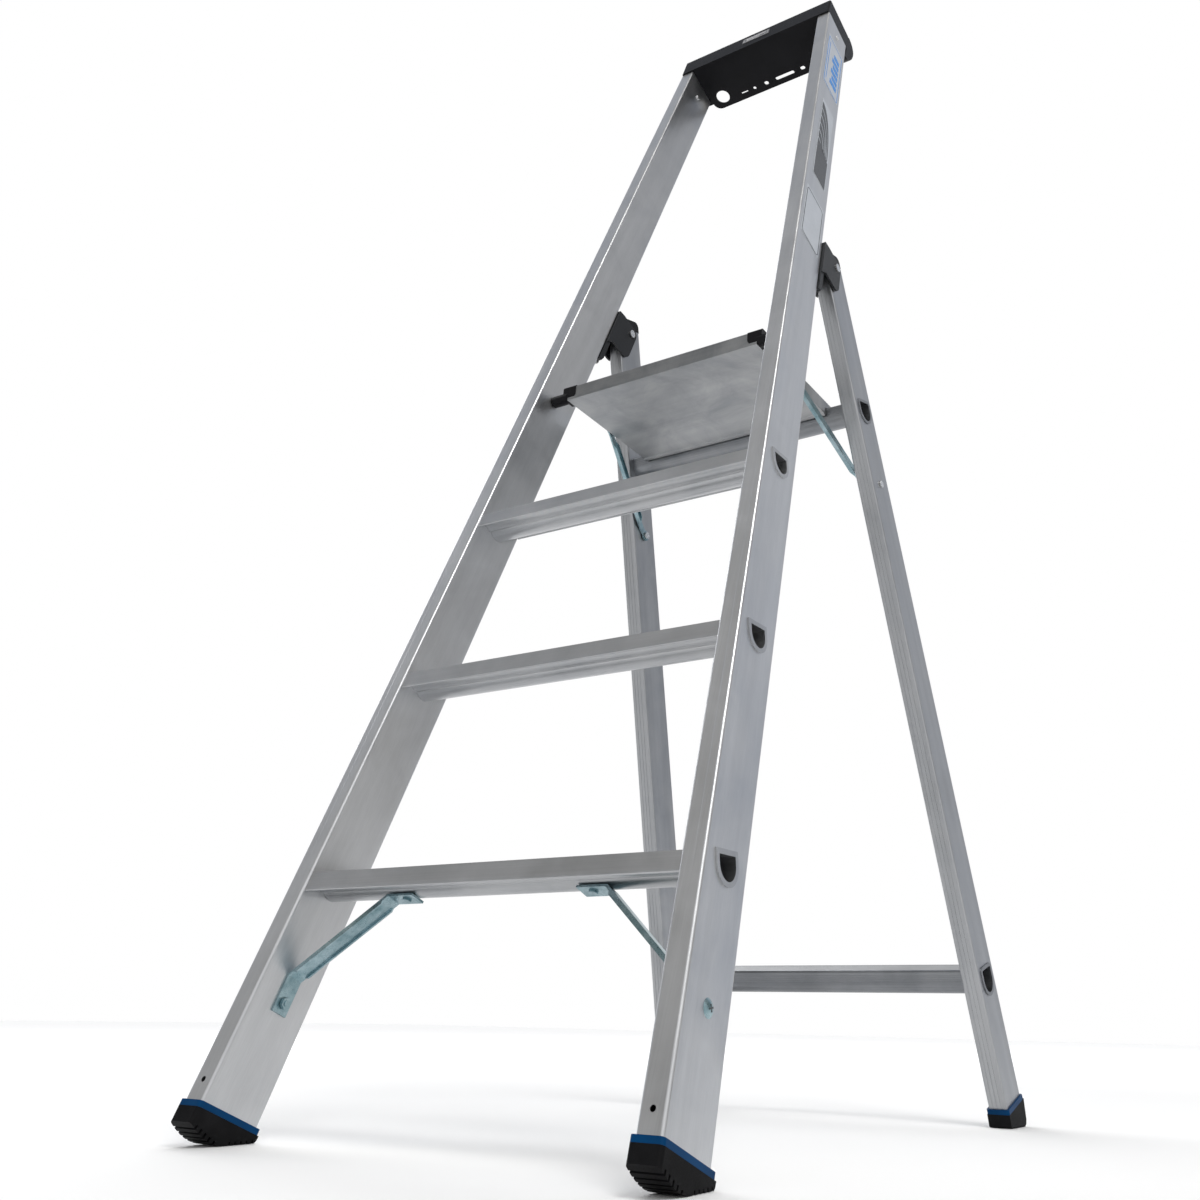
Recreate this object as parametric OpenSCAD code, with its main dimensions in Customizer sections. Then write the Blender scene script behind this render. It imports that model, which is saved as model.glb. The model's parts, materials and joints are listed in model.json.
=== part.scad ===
// Platform step ladder: a stile frame with three treads and a top tool tray, a hinged
// rear frame, and a standing platform that folds up between the stiles.
// Millimetres. +X is the ladder's right, the climbing side faces -Y, +Z is up.
// The ladder is drawn open. The origin is on the floor, in the middle of its footprint.

/* [Front frame] */
// Lean of the front stiles away from vertical (degrees)
front_lean = 20.9; // [18:0.1:24]
// Inward lean of each stile, so that the ladder narrows upwards (degrees)
flare = 3.35; // [2.5:0.05:3.6]
// Half of the ladder's width at the floor, to the stile's outer face
foot_half = 271; // [260:1:285]
// Length of the front stiles, measured up the slope from the floor
stile_top = 1918; // [1850:1:1950]
// Width of a stile, seen from the front
stile_w = 24.7; // [22:0.1:27]
// Depth of a stile, seen from the side
stile_d = 75.2; // [70:0.1:80]
// Wall thickness of the stiles
stile_wall = 1.8; // [1.4:0.1:2.4]

/* [Treads] */
// Height of the lowest tread above the floor
first_tread_z = 249.6; // [235:0.1:260]
// Height from one tread to the next
tread_rise = 235; // [230:1:240]
// Depth of a tread from its nose to its back edge
tread_depth = 77; // [74:0.5:78]
// Height of the tread's front nose
nose_h = 18; // [15:0.5:20]
// Outer radius of the round-bottomed tube under each tread
tube_r = 17; // [15:0.5:18]
// How far the tube's ends are flared out over the stile
flare_rim = 2.6; // [1.5:0.1:3.5]

/* [Rear frame] */
// Lean of the rear legs away from vertical (degrees)
rear_lean = 15; // [13:0.1:17]
// Outward splay of each rear leg on its way down (degrees)
rear_splay = 3.02; // [2.5:0.02:3.2]
// Width of a rear leg, seen from the front
leg_w = 23.8; // [21:0.1:25]
// Depth of a rear leg, seen from the side
leg_d = 58.9; // [50:0.1:60]
// Distance of the hinge up the slope of the front stiles
hinge_q = 1264; // [1250:1:1280]
// Distance of the hinge behind the front face of the stiles
hinge_w = 117.3; // [115:0.1:120]

/* [Platform] */
// Distance of the platform's pivot up the slope of the front stiles
pivot_q = 1016; // [1012:0.5:1020]
// Distance of the platform's pivot behind the front face of the stiles
pivot_w = 32.5; // [30:0.5:34]
// Half of the platform's width
deck_half = 157; // [152:0.5:158]
// Thickness of the platform
deck_t = 22.4; // [20:0.1:24]
// Depth of the platform from its front edge to the back of its hook
deck_depth = 236; // [232:0.5:240]

/* [Top tray] */
// Height of the tray's walls, up the slope
tray_h = 43; // [38:1:46]
// Wall thickness of the tray
tray_wall = 3; // [2.5:0.1:3.5]
// Distance from the tray's front face to the back edge of its tool rail
tray_depth = 97; // [94:0.5:100]
// Diameter of the large tool hole
tool_hole_d = 27; // [20:1:28]

/* [Hidden] */

round_fn = 64;
small_fn = 32;
far = 400;
eps = 0.01;
contact = 0.05;
running = 0.06;

alu = [0.72, 0.73, 0.74];
alu_dark = [0.62, 0.64, 0.66];
zinc = [0.66, 0.74, 0.77];
steel = [0.82, 0.83, 0.84];
plastic_black = [0.07, 0.07, 0.08];
collar_blue = [0.03, 0.22, 0.42];
label_white = [0.93, 0.94, 0.95];

RIGHT = 1;
LEFT = -1;

// Points of the side view: Y and Z of a spot on the front frame's slope
function slope_y(q, w) = q * sin(front_lean) + w * cos(front_lean);
function slope_z(q, w) = q * cos(front_lean) - w * sin(front_lean);
// Distance from the ladder's middle to the stile's outer and inner faces at q up the slope
function outer_half(q) = foot_half - q * tan(flare);
function inner_half(q) = outer_half(q) - stile_w / cos(flare);

hinge_y = slope_y(hinge_q, hinge_w);
hinge_z = slope_z(hinge_q, hinge_w);
pivot_y = slope_y(pivot_q, pivot_w);
pivot_z = slope_z(pivot_q, pivot_w);
leg_shift = 0.4;
leg_half = outer_half(hinge_q) + leg_shift;
leg_wall = 1.8;
leg_above_hinge = 9;

// The feet
foot_grip = 3;
collar_h = 5.5;
collar_q = 36;
toe_q = 22;
toe_y = slope_y(toe_q, -foot_grip);
rear_collar_q = 1150;
rear_foot_side = 2.4;
leg_end = rear_collar_q + 12;
heel_back = 3.4;

// Rear legs: Y and Z of a spot q down the leg and w behind its middle
function leg_y(q, w) = hinge_y + q * sin(rear_lean) + w * cos(rear_lean);
function leg_z(q, w) = hinge_z - q * cos(rear_lean) + w * sin(rear_lean);
// Distance from the ladder's middle to a leg's outer and inner faces at q down the leg
function leg_outer_half(q) = leg_half + q * tan(rear_splay);
function leg_inner_half(q) = leg_outer_half(q) - leg_w / cos(rear_splay);
rear_most_y = leg_y(rear_collar_q + collar_h, leg_d / 2 + heel_back);
mid_y = (toe_y + rear_most_y) / 2;

// ---------------------------------------------------------------- frames of reference

// Side-view coordinates with the front stiles' front face on Y = 0 at the floor
module ladder() {
    translate([0, -mid_y, 0]) children();
}

// X across, Y into the stile's depth, Z up the slope of the front stiles
module front_plane() {
    ladder() rotate([-front_lean, 0, 0]) children();
}

// Origin on a stile's outer face at q up the slope, with Z along the stile
module along_stile(side, q = 0) {
    mirror([side < 0 ? 1 : 0, 0, 0])
        front_plane()
            translate([outer_half(q), 0, q])
                rotate([0, -flare, 0])
                    children();
}

// Everything between two distances up the front frame's slope
module front_slab(q0, q1) {
    front_plane() translate([-far, -far, q0]) cube([2 * far, 2 * far, q1 - q0]);
}

// Hinge axis at the origin, Y into the leg's depth from its middle, Z up the leg
module rear_plane() {
    ladder() translate([0, hinge_y, hinge_z]) rotate([rear_lean, 0, 0]) children();
}

// Origin on a leg's outer face at q down the leg, with Z up the leg
module along_leg(side, q = 0) {
    mirror([side < 0 ? 1 : 0, 0, 0])
        rear_plane()
            translate([leg_outer_half(q), 0, -q])
                rotate([0, -rear_splay, 0])
                    children();
}

// Everything between two distances down the rear frame
module rear_slab(q0, q1) {
    rear_plane() translate([-far, -far, -q1]) cube([2 * far, 2 * far, q1 - q0]);
}

// Puts a side-view outline (X = depth, Y = height) upright and gives it a width along X
module side_extrude(x0, x1) {
    translate([x0, 0, 0])
        rotate([90, 0, 90])
            linear_extrude(height = x1 - x0)
                children();
}

// Cylinder along X, centred on a side-view point
module cross_rod(x0, x1, y, z, r) {
    translate([x0, y, z]) rotate([0, 90, 0]) cylinder(h = x1 - x0, r = r, $fn = round_fn);
}

module rounded_rect(x0, y0, x1, y1, r) {
    translate([x0 + r, y0]) square([x1 - x0 - 2 * r, y1 - y0]);
    translate([x0, y0 + r]) square([x1 - x0, y1 - y0 - 2 * r]);
    for (x = [x0 + r, x1 - r], y = [y0 + r, y1 - r])
        translate([x, y]) circle(r = r, $fn = small_fn);
}

// The space between the two stiles, grown sideways by grow; negative grow leaves a gap
module between_stiles(grow, face = "inner") {
    half0 = (face == "inner" ? inner_half(0) : outer_half(0)) + grow;
    half1 = (face == "inner" ? inner_half(stile_top) : outer_half(stile_top)) + grow;
    front_plane()
        translate([0, far, 0])
            rotate([90, 0, 0])
                linear_extrude(height = 2 * far)
                    polygon([[-half0, 0], [half0, 0], [half1, stile_top], [-half1, stile_top]]);
}

// The space between the rear legs, down to below the floor
module between_legs(grow, face = "inner") {
    inset = face == "inner" ? leg_w / cos(rear_splay) : 0;
    low = 1300;
    half0 = leg_half - inset + grow;
    half1 = leg_half + low * tan(rear_splay) - inset + grow;
    rear_plane()
        translate([0, far, 0])
            rotate([90, 0, 0])
                linear_extrude(height = 2 * far)
                    polygon([[-half1, -low], [half1, -low], [half0, 0], [-half0, 0]]);
}

// ---------------------------------------------------------------- treads

tube_y = 33.5;
tube_drop = 10;
tube_wall = 2.2;
nose_back = 2.7;
nose_lip_y = -nose_h * tan(front_lean);
tread_skin = 2.4;

function tread_z(k) = first_tread_z + k * tread_rise;
function tread_y(k) = tread_z(k) * tan(front_lean) + nose_back;

// Outline with a flat top and a round bottom, grown by g
module d_outline(g) {
    r = tube_r + g;
    translate([tube_y - r, -tube_drop]) square([2 * r, tube_drop + g]);
    intersection() {
        translate([tube_y, -tube_drop]) circle(r = r, $fn = round_fn);
        translate([tube_y - r, -tube_drop - r]) square([2 * r, r + eps]);
    }
}

// Holes for a tread's tube through both stiles
module tube_cut(k) {
    ladder() translate([0, tread_y(k), tread_z(k)])
        side_extrude(-far, far) d_outline(contact);
}

// The tread's skin: ribbed top, leaning nose, hollow underside and back lip
module tread_outline() {
    lip_r = 1.6;
    groove_w = 1.4;
    groove_deep = 0.7;
    groove_pitch = 5;
    arch_y = 5;
    arch_z = -27.5;
    arch_r = 13.2;
    arch_t = 1.8;
    back_lip = 9;
    difference() {
        translate([0, -tread_skin]) square([tread_depth, tread_skin]);
        for (y = [6 : groove_pitch : tread_depth - 4])
            translate([y, -groove_deep]) square([groove_w, 1]);
    }
    polygon([[0, 0], [tread_skin, 0], [nose_lip_y + tread_skin, -nose_h], [nose_lip_y, -nose_h]]);
    translate([nose_lip_y + lip_r, -nose_h]) circle(r = lip_r, $fn = small_fn);
    intersection() {
        difference() {
            translate([arch_y, arch_z]) circle(r = arch_r + arch_t, $fn = round_fn);
            translate([arch_y, arch_z]) circle(r = arch_r, $fn = round_fn);
        }
        translate([nose_lip_y + lip_r, -nose_h - 1]) square([tube_y - tube_r - nose_lip_y, nose_h]);
    }
    translate([tread_depth - 2.2, -back_lip]) square([2.2, back_lip]);
    translate([tread_depth - 1.1 - 2, -back_lip]) circle(r = 1.7, $fn = small_fn);
}

module step(k) {
    color(alu)
        difference() {
            union() {
                intersection() {
                    ladder() translate([0, tread_y(k), tread_z(k)])
                        side_extrude(-far, far) {
                            tread_outline();
                            d_outline(0);
                        }
                    between_stiles(-contact);
                }
                intersection() {
                    ladder() translate([0, tread_y(k), tread_z(k)])
                        side_extrude(-far, far) d_outline(0);
                    between_stiles(flare_rim * 0.6, "outer");
                }
                difference() {
                    intersection() {
                        ladder() translate([0, tread_y(k), tread_z(k)])
                            side_extrude(-far, far) d_outline(flare_rim);
                        between_stiles(flare_rim * 0.6, "outer");
                    }
                    between_stiles(contact, "outer");
                }
            }
            ladder() translate([0, tread_y(k), tread_z(k)])
                side_extrude(-far, far) d_outline(-tube_wall);
        }
}

// ---------------------------------------------------------------- front stiles

stile_start = 31;
punch_q = 61;
punch_r = 2.6;
brace_bolt_q = 148;
brace_bolt_w = 38.5;
brace_bolt_r = 3;
tray_bolt_q = 1884;
tray_bolt_w = 38.9;
tray_bolt_r = 2.5;
pivot_stub_r = 6;

module stile_section() {
    difference() {
        rounded_rect(-stile_w, 0, 0, stile_d, 3);
        rounded_rect(-stile_w + stile_wall, stile_wall, -stile_wall, stile_d - stile_wall, 1.5);
    }
}

module front_stile(side) {
    color(alu)
        difference() {
            intersection() {
                along_stile(side) linear_extrude(height = stile_top + 50) stile_section();
                front_slab(stile_start, stile_top);
            }
            for (k = [0 : 2]) tube_cut(k);
            along_stile(side, punch_q)
                translate([-stile_w / 2, -1, 0])
                    rotate([-90, 0, 0])
                        cylinder(h = stile_wall + 2, r = punch_r, $fn = small_fn);
            stile_cross_bore(side, brace_bolt_q, brace_bolt_w, brace_bolt_r + contact);
            stile_cross_bore(side, tray_bolt_q, tray_bolt_w, tray_bolt_r + contact);
            ladder()
                cross_rod(side > 0 ? 0 : -inner_half(pivot_q) - stile_w / 2,
                    side > 0 ? inner_half(pivot_q) + stile_w / 2 : 0,
                    pivot_y, pivot_z, pivot_stub_r + running);
            for (q = bracket_rivet_q)
                along_stile(side, q)
                    translate([-stile_w / 2, stile_d - stile_wall - 1, 0])
                        rotate([-90, 0, 0])
                            cylinder(h = stile_wall + 2, r = bracket_rivet_r + contact, $fn = small_fn);
        }
}

// Bore square through a stile from side to side
module stile_cross_bore(side, q, w, r) {
    along_stile(side, q)
        translate([-stile_w - 5, w, 0])
            rotate([0, 90, 0])
                cylinder(h = stile_w + 10, r = r, $fn = small_fn);
}

// ---------------------------------------------------------------- front feet

foot_wall = foot_grip;
sole_front = 47;
heel_w = stile_d + foot_wall;
groove_wide = 2.3;
collar_corner = 4;

// Side view of a front foot: straight front, bevelled toe, flat sole and upright heel
module front_foot_outline() {
    heel_y = heel_w / cos(front_lean);
    heel_r = 2;
    steps = 12;
    toe_z = slope_z(toe_q, -foot_wall);
    // The toe curves towards this point and ends level with the sole
    bend_y = toe_y + 0.5 * (sole_front - toe_y);
    difference() {
        polygon(concat(
            [[slope_y(collar_q, -foot_wall), slope_z(collar_q, -foot_wall)]],
            // Rolled toe
            [for (i = [0 : steps])
                let (t = i / steps, u = 1 - t)
                [toe_y * u * u + 2 * bend_y * t * u + sole_front * t * t, toe_z * u * u]],
            [[heel_y - heel_r, 0], [heel_y + 0.3, heel_r],
             [slope_y(collar_q, heel_w), slope_z(collar_q, heel_w)]]
        ));
        // Grip grooves across the toe
        for (i = [0 : 4])
            translate([groove_y + 5.6 * i, groove_z - 3.6 * i])
                rotate(-toe_bevel)
                    translate([-groove_wide / 2, -20]) square([groove_wide, 20]);
        // Notches under the heel
        for (i = [0 : 4])
            translate([sole_front + 5 + 6.6 * i, -1]) square([1.8, 3.8]);
    }
}

toe_bevel = 31;
// Inner end of the first groove
groove_y = 13;
groove_z = 19;

// Filling that sits loosely inside a stile between two distances up the slope
module stile_plug(side, q0, q1) {
    gap = stile_wall + 0.3;
    intersection() {
        along_stile(side)
            linear_extrude(height = stile_top + 50)
                rounded_rect(-stile_w + gap, gap, -gap, stile_d - gap, 1.5);
        front_slab(q0, q1);
    }
}

module front_foot(side) {
    plug_q = 56;
    color(plastic_black)
        difference() {
            union() {
                intersection() {
                    ladder() side_extrude(-far, far) front_foot_outline();
                    along_stile(side)
                        translate([0, 0, -80])
                            linear_extrude(height = 200)
                                rounded_rect(
                                    -stile_w - foot_wall, -foot_wall - contact,
                                    foot_wall, stile_d + 50, collar_corner
                                );
                }
                stile_plug(side, stile_start - 2, plug_q);
            }
            // Seat for the end of the stile
            difference() {
                intersection() {
                    along_stile(side)
                        translate([-stile_w - contact, -contact, 0])
                            cube([stile_w + 2 * contact, stile_d + 2 * contact, 90]);
                    front_slab(stile_start - contact, 90);
                }
                stile_plug(side, 0, 100);
            }
        }
}

// Ring of coloured plastic that closes the top of a foot
module collar_ring(w, d, grip, hole_r, outer_r) {
    difference() {
        rounded_rect(-w - grip, -grip, grip, d + grip, outer_r);
        rounded_rect(-w - contact, -contact, contact, d + contact, hole_r);
    }
}

module front_collar(side) {
    color(collar_blue)
        intersection() {
            along_stile(side)
                linear_extrude(height = 100)
                    collar_ring(stile_w, stile_d, foot_wall, 3, collar_corner);
            front_slab(collar_q + contact, collar_q + collar_h);
        }
}

// ---------------------------------------------------------------- braces under the lowest tread

brace_w = 19;
brace_t = 2.2;
brace_low_q = 136;
brace_bend_q = 172;
brace_rivet_x = 117;
brace_tab_x = 137;
brace_tab_end = 103;
brace_gap = 0.1;
// Middle of the lowest tread's tube, up the slope
tube_q = (tread_z(0) - tube_drop) * cos(front_lean) + (tread_y(0) + tube_y) * sin(front_lean);
brace_top_q = tube_q - tube_r - contact;

// The strip lies along the stile, crosses over and ends flat under the tread's tube
module brace(side) {
    edge_t = 1.8;
    edge_deep = 3.4;
    bend_x = inner_half(brace_bend_q) - brace_gap;
    low_x = inner_half(brace_low_q) - brace_gap;
    low_end = [bend_x - brace_t + 0.2, brace_bend_q];
    high_end = [brace_tab_x, brace_top_q - brace_t + 0.2];
    along = (high_end - low_end) / norm(high_end - low_end);
    under = [-along[1], along[0]];
    start = low_end + 5 * along;
    finish = high_end - 5 * along;
    color(zinc)
        mirror([side < 0 ? 1 : 0, 0, 0])
            difference() {
                front_plane() {
                    // Strip bent in one plane, from the plate on the stile to the tab
                    translate([0, brace_bolt_w + brace_w / 2, 0])
                        rotate([90, 0, 0])
                            linear_extrude(height = brace_w)
                                polygon([
                                    [low_x, brace_low_q], [bend_x, brace_bend_q],
                                    [brace_tab_x + brace_t * 0.4, brace_top_q],
                                    [brace_tab_end, brace_top_q],
                                    [brace_tab_end, brace_top_q - brace_t],
                                    [brace_tab_x - brace_t * 0.5, brace_top_q - brace_t],
                                    [bend_x - brace_t, brace_bend_q - brace_t * 0.5],
                                    [low_x - brace_t, brace_low_q]
                                ]);
                    // Folded edges of the diagonal
                    for (w = [brace_bolt_w + brace_w / 2, brace_bolt_w - brace_w / 2 + edge_t])
                        translate([0, w, 0])
                            rotate([90, 0, 0])
                                linear_extrude(height = edge_t)
                                    polygon([
                                        start, start + 4 * along + edge_deep * under,
                                        finish - 4 * along + edge_deep * under, finish
                                    ]);
                }
                stile_cross_bore(RIGHT, brace_bolt_q, brace_bolt_w, brace_bolt_r + contact);
                front_plane()
                    translate([brace_rivet_x, brace_bolt_w, brace_top_q - 10])
                        cylinder(h = 20, r = brace_rivet_r + contact, $fn = small_fn);
                // Keeps the strip clear of the tube's round underside
                ladder() translate([0, tread_y(0), tread_z(0)])
                    side_extrude(-far, far) d_outline(contact);
            }
}

brace_rivet_r = 2.4;

// Bolts with domed outer heads and hexagon nuts inside
module brace_bolts() {
    head_r = 8;
    head_h = 3.2;
    nut_flat = 5.8;
    color(zinc)
        for (side = [RIGHT, LEFT])
            along_stile(side, brace_bolt_q)
                translate([0, brace_bolt_w, 0]) {
                    translate([-stile_w - brace_t - 5.5, 0, 0])
                        rotate([0, 90, 0])
                            cylinder(h = stile_w + brace_t + 5.5 + 1, r = brace_bolt_r, $fn = small_fn);
                    translate([contact, 0, 0])
                        rotate([0, 90, 0])
                            intersection() {
                                dome = (head_r * head_r + head_h * head_h) / (2 * head_h);
                                translate([0, 0, head_h - dome]) sphere(r = dome, $fn = round_fn);
                                cylinder(h = head_h + 1, r = head_r, $fn = round_fn);
                            }
                    translate([-stile_w - brace_t - 4.6, 0, 0])
                        rotate([0, 90, 0])
                            cylinder(h = 4, r = nut_flat, $fn = 6);
                }
}

module brace_rivets() {
    color(zinc)
        for (side = [RIGHT, LEFT])
            front_plane()
                translate([side * brace_rivet_x, brace_bolt_w, brace_top_q - brace_t - 2]) {
                    cylinder(h = brace_t + 1.8, r = brace_rivet_r, $fn = small_fn);
                    cylinder(h = 2 - contact, r = 4.6, $fn = small_fn);
                }
}

// ---------------------------------------------------------------- top tray

tray_base = stile_top + contact;
tray_front = -3;
tray_side = 157.5;
tray_back = 79;
floor_t = 3.5;
tool_hole_w = 72;

// Outline of the tray from above, shrunk by t: wide over the stiles, deeper between them
module tray_outline(t) {
    rail_half = inner_half(stile_top) - 4;
    corner = 16;
    rounded_rect(-tray_side + t, tray_front + t, tray_side - t, tray_back - t, 3);
    translate([0, tray_front + t])
        intersection() {
            translate([0, -corner * 2])
                rounded_rect(-rail_half + t, 0, rail_half - t, tray_depth + corner * 2 - 2 * t, corner - t);
            translate([-far, 0]) square([2 * far, 2 * far]);
        }
}

module top_tray() {
    plug_q = 56;
    slot_w = 80.5;
    back_wall_h = 9;
    // Tool openings near the back: middle, length across and width
    slots = [[-60, 15, 3.4], [-38, 6.4, 6.4], [-12, 9, 8], [28, 40, 7], [66, 10, 7.5]];
    color(plastic_black)
        difference() {
            union() {
                front_plane()
                    translate([0, 0, tray_base])
                        linear_extrude(height = tray_h)
                            tray_outline(0);
                tray_hook();
                for (side = [RIGHT, LEFT])
                    stile_plug(side, stile_top - plug_q, stile_top + 3);
            }
            front_plane()
                translate([0, 0, tray_base + floor_t])
                    linear_extrude(height = tray_h)
                        tray_outline(tray_wall);
            // Low back wall behind the tool openings
            front_plane()
                translate([-tray_side + tray_wall, tray_back - 12, tray_base + back_wall_h])
                    cube([2 * (tray_side - tray_wall), 60, tray_h]);
            // Tool openings
            front_plane()
                translate([-105, tool_hole_w, tray_base - 5])
                    cylinder(h = 20, r = tool_hole_d / 2, $fn = round_fn);
            for (s = slots)
                front_plane()
                    translate([s[0], slot_w, tray_base - 5])
                        linear_extrude(height = 25)
                            rounded_rect(-s[1] / 2, -s[2] / 2, s[1] / 2, s[2] / 2, s[2] / 2 - 0.2);
            for (side = [RIGHT, LEFT])
                stile_cross_bore(side, tray_bolt_q, tray_bolt_w, tray_bolt_r + contact);
        }
}

// Bucket hook at the right back corner: a tapered lug that hangs behind the stile
module tray_hook() {
    hook_t = 12;
    reach = 26;
    middle = 20;
    up = 25;
    down = 45;
    steps = 20;
    front_plane()
        translate([0, tray_back, tray_base])
            side_extrude(tray_side - hook_t, tray_side) {
                translate([-2, 2]) square([6, 34]);
                difference() {
                    polygon([
                        for (i = [0 : steps])
                            let (a = -90 + 180 * i / steps)
                            [reach * cos(a), middle + (a > 0 ? up : down) * sin(a)]
                    ]);
                    translate([-1, -down]) square([1.4, down + 1]);
                }
            }
}

module tray_bolts() {
    color(steel)
        for (side = [RIGHT, LEFT])
            along_stile(side, tray_bolt_q)
                translate([0, tray_bolt_w, 0])
                    rotate([0, 90, 0]) {
                        translate([0, 0, -stile_w - 2])
                            cylinder(h = stile_w + 3, r = tray_bolt_r, $fn = small_fn);
                        translate([0, 0, contact]) cylinder(h = 1.8, r = 4.5, $fn = small_fn);
                        translate([0, 0, -stile_w - 2.4]) cylinder(h = 2.3, r = 4.5, $fn = small_fn);
                    }
}

// Blank name plate on the front wall of the tray
module tray_badge() {
    badge_w = 57;
    badge_h = 16;
    color(label_white)
        front_plane()
            translate([3, tray_front - contact, tray_base + 25])
                rotate([90, 0, 0])
                    linear_extrude(height = 0.8)
                        rounded_rect(-badge_w / 2, -badge_h / 2, badge_w / 2, badge_h / 2, 1.5);
}

// Three blank stickers on the right stile's outer face: start, length and width
module stile_labels() {
    stickers = [[1224, 122, 57, 9], [1396, 230, 42, 19], [1680, 172, 57, 10]];
    color(label_white)
        for (s = stickers)
            along_stile(RIGHT, s[0])
                translate([contact, s[3], 0])
                    cube([0.4, s[2], s[1]]);
}

// ---------------------------------------------------------------- hinge brackets

cheek_gap = 1.3;
cheek_t = 3;
cheek_out = leg_shift + cheek_gap;
cheek_in = leg_shift - leg_w / cos(rear_splay) - cheek_gap;
bracket_base = 5;
bracket_stop = 9;
hinge_pin_r = 4;
bracket_rivet_q = [1168, 1192];
bracket_rivet_r = 2.4;

module cheek_outline() {
    top_r = 12;
    lobe_r = 15;
    lobe_w = hinge_w + 13 - lobe_r;
    polygon([
        [stile_d + contact, 13], [stile_d + 14, 15],
        [hinge_w, 15], [hinge_w + 13, 3],
        [hinge_w + 13, -35], [lobe_w, -35 - lobe_r],
        [stile_d + 12, -50], [stile_d + contact, -62]
    ]);
    translate([hinge_w + 1, 3]) circle(r = top_r, $fn = round_fn);
    translate([lobe_w, -35]) circle(r = lobe_r, $fn = round_fn);
}

// Fork that holds the top of a rear leg, on the back of the stile
module hinge_bracket(side) {
    color(plastic_black)
        difference() {
            along_stile(side, hinge_q) {
                // The cheeks, one on each side of the leg
                for (x = [cheek_out, cheek_in - cheek_t])
                    side_extrude(x, x + cheek_t) cheek_outline();
                // Base on the stile, with a stop for the folded leg
                side_extrude(cheek_in - 1, cheek_out + 1)
                    polygon([
                        [stile_d + contact, 13], [stile_d + bracket_base, 13],
                        [stile_d + bracket_base, -50], [stile_d + bracket_stop, -58],
                        [stile_d + bracket_stop, -92], [stile_d + 6, -100],
                        [stile_d + contact, -102]
                    ]);
            }
            hinge_bore(contact);
            for (q = bracket_rivet_q)
                along_stile(side, q)
                    translate([-stile_w / 2, stile_d - 1, 0])
                        rotate([-90, 0, 0])
                            cylinder(h = 20, r = bracket_rivet_r + contact, $fn = small_fn);
        }
}

module hinge_bore(extra) {
    ladder() cross_rod(-far, far, hinge_y, hinge_z, hinge_pin_r + extra);
}

// Rivets that hold the brackets to the stiles
module bracket_rivets() {
    color(steel)
        for (side = [RIGHT, LEFT], q = bracket_rivet_q)
            along_stile(side, q)
                translate([-stile_w / 2, 0, 0])
                    rotate([-90, 0, 0]) {
                        translate([0, 0, stile_d - stile_wall - 1.5])
                            cylinder(h = stile_wall + 1.5 + bracket_stop + 1,
                                r = bracket_rivet_r, $fn = small_fn);
                        translate([0, 0, stile_d + bracket_stop + contact])
                            cylinder(h = 1.6, r = 4.4, $fn = small_fn);
                    }
}

module hinge_pin(side) {
    mid = leg_half - leg_w / 2;
    reach = leg_w / 2 + cheek_gap + cheek_t + 0.5;
    head_r = 6.5;
    head_t = 2;
    color(steel)
        mirror([side < 0 ? 1 : 0, 0, 0])
            ladder() {
                cross_rod(mid - reach, mid + reach, hinge_y, hinge_z, hinge_pin_r);
                cross_rod(mid + reach, mid + reach + head_t, hinge_y, hinge_z, head_r);
                cross_rod(mid - reach - head_t, mid - reach, hinge_y, hinge_z, head_r);
            }
}

// ---------------------------------------------------------------- rear frame

bar_w = 36;
bar_h = 32;
bar_top_r = 4;
bar_low_r = 17.9;
upper_bar_q = 226.4;
lower_bar_q = 1004.5;
strut_leg_q = 336;
strut_pin_r = 3;

module leg_section() {
    groove_deep = 0.4;
    difference() {
        rounded_rect(-leg_w, -leg_d / 2, 0, leg_d / 2, 2.5);
        rounded_rect(-leg_w + leg_wall, -leg_d / 2 + leg_wall, -leg_wall, leg_d / 2 - leg_wall, 1);
        // Grooves down the front and back faces
        for (x = [-0.72, -0.5, -0.28], y = [-leg_d / 2 - 1 + groove_deep, leg_d / 2 - groove_deep])
            translate([x * leg_w - 0.8, y]) square([1.6, 1]);
    }
}

// Crossbar section: flat top and front, round bottom, grown by g
module bar_outline(g) {
    w = bar_w / 2 + g;
    h = bar_h / 2 + g;
    r0 = bar_top_r + g;
    r1 = bar_low_r + g;
    translate([-w, -h + r1]) square([2 * w, 2 * h - r0 - r1]);
    translate([-w + r0, 0]) square([2 * (w - r0), h]);
    translate([-w + r1, -h]) square([2 * (w - r1), h]);
    for (x = [-1, 1])
        translate([x * (w - r0), h - r0]) circle(r = r0, $fn = small_fn);
    intersection() {
        union() {
            for (x = [-1, 1])
                translate([x * (w - r1), -h + r1]) circle(r = r1, $fn = round_fn);
        }
        translate([-w - 1, -h - 1]) square([2 * w + 2, r1 + 1 + eps]);
    }
}

module bar_solid(q, g) {
    rear_plane() translate([0, 0, -q]) side_extrude(-far, far) bar_outline(g);
}

module rear_leg(side) {
    color(alu)
        difference() {
            intersection() {
                along_leg(side, leg_end + 20)
                    linear_extrude(height = leg_end + leg_above_hinge + 50)
                        leg_section();
                rear_slab(-leg_above_hinge, leg_end);
            }
            bar_solid(upper_bar_q, contact);
            bar_solid(lower_bar_q, contact);
            hinge_bore(running);
            strut_bore(contact);
        }
}

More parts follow.
